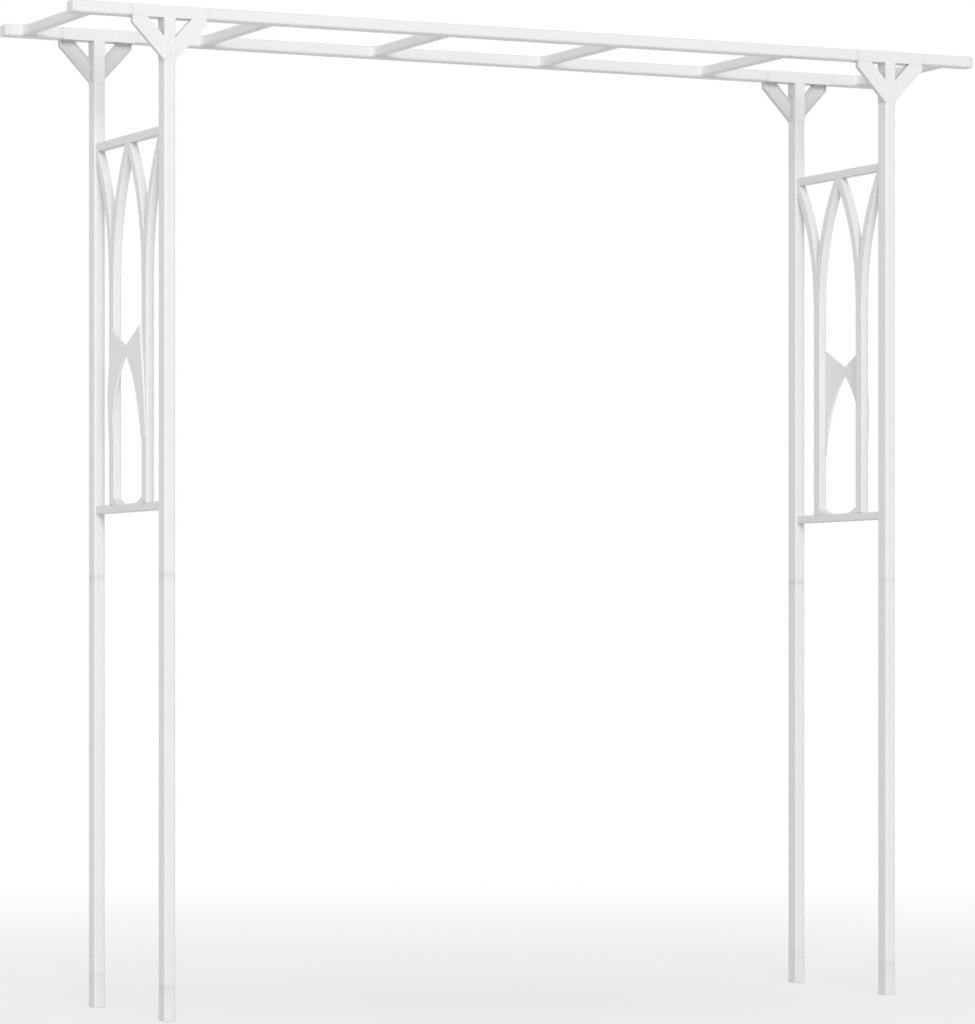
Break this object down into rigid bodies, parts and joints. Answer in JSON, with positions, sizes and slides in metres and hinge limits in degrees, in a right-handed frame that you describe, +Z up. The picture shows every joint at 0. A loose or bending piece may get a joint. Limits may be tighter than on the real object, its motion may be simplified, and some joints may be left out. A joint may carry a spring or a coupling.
{
  "type": "garden arch",
  "caption": "Free-standing flat-topped garden arch of plugged white plastic tubes, with a ladder roof and gothic side panels for climbing plants.",
  "frame": {"origin": "on the ground, in the middle of the four feet", "axes": "+X along the beams to the right, +Y from the front row of posts to the back row, +Z up"},
  "size_m": [2.148, 0.447, 2.1],
  "materials": {
    "extruded_white": "satin white extruded plastic",
    "moulded_white": "satin white moulded plastic"
  },
  "bodies": {
    "root": {"back_beam_left_cap": "moulded_white", "back_beam_left_end": "extruded_white", "back_beam_middle": "extruded_white", "back_beam_right_cap": "moulded_white", "back_beam_right_end": "extruded_white", "back_left_connector": "moulded_white", "back_left_foot": "moulded_white", "back_left_post_coupler": "moulded_white", "back_left_post_lower": "extruded_white", "back_left_post_upper": "extruded_white", "back_right_connector": "moulded_white", "back_right_foot": "moulded_white", "back_right_post_coupler": "moulded_white", "back_right_post_lower": "extruded_white", "back_right_post_upper": "extruded_white", "back_rung_plugs": "moulded_white", "front_beam_left_cap": "moulded_white", "front_beam_left_end": "extruded_white", "front_beam_middle": "extruded_white", "front_beam_right_cap": "moulded_white", "front_beam_right_end": "extruded_white", "front_left_connector": "moulded_white", "front_left_foot": "moulded_white", "front_left_post_coupler": "moulded_white", "front_left_post_lower": "extruded_white", "front_left_post_upper": "extruded_white", "front_right_connector": "moulded_white", "front_right_foot": "moulded_white", "front_right_post_coupler": "moulded_white", "front_right_post_lower": "extruded_white", "front_right_post_upper": "extruded_white", "front_rung_plugs": "moulded_white", "left_back_slat": "extruded_white", "left_bottom_rail": "moulded_white", "left_front_slat": "extruded_white", "left_header": "moulded_white", "left_spreader": "moulded_white", "right_back_slat": "extruded_white", "right_bottom_rail": "moulded_white", "right_front_slat": "extruded_white", "right_header": "moulded_white", "right_spreader": "moulded_white", "rung_1": "extruded_white", "rung_2": "extruded_white", "rung_3": "extruded_white", "rung_4": "extruded_white", "rung_5": "extruded_white", "rung_6": "extruded_white"}
  },
  "joints": []
}
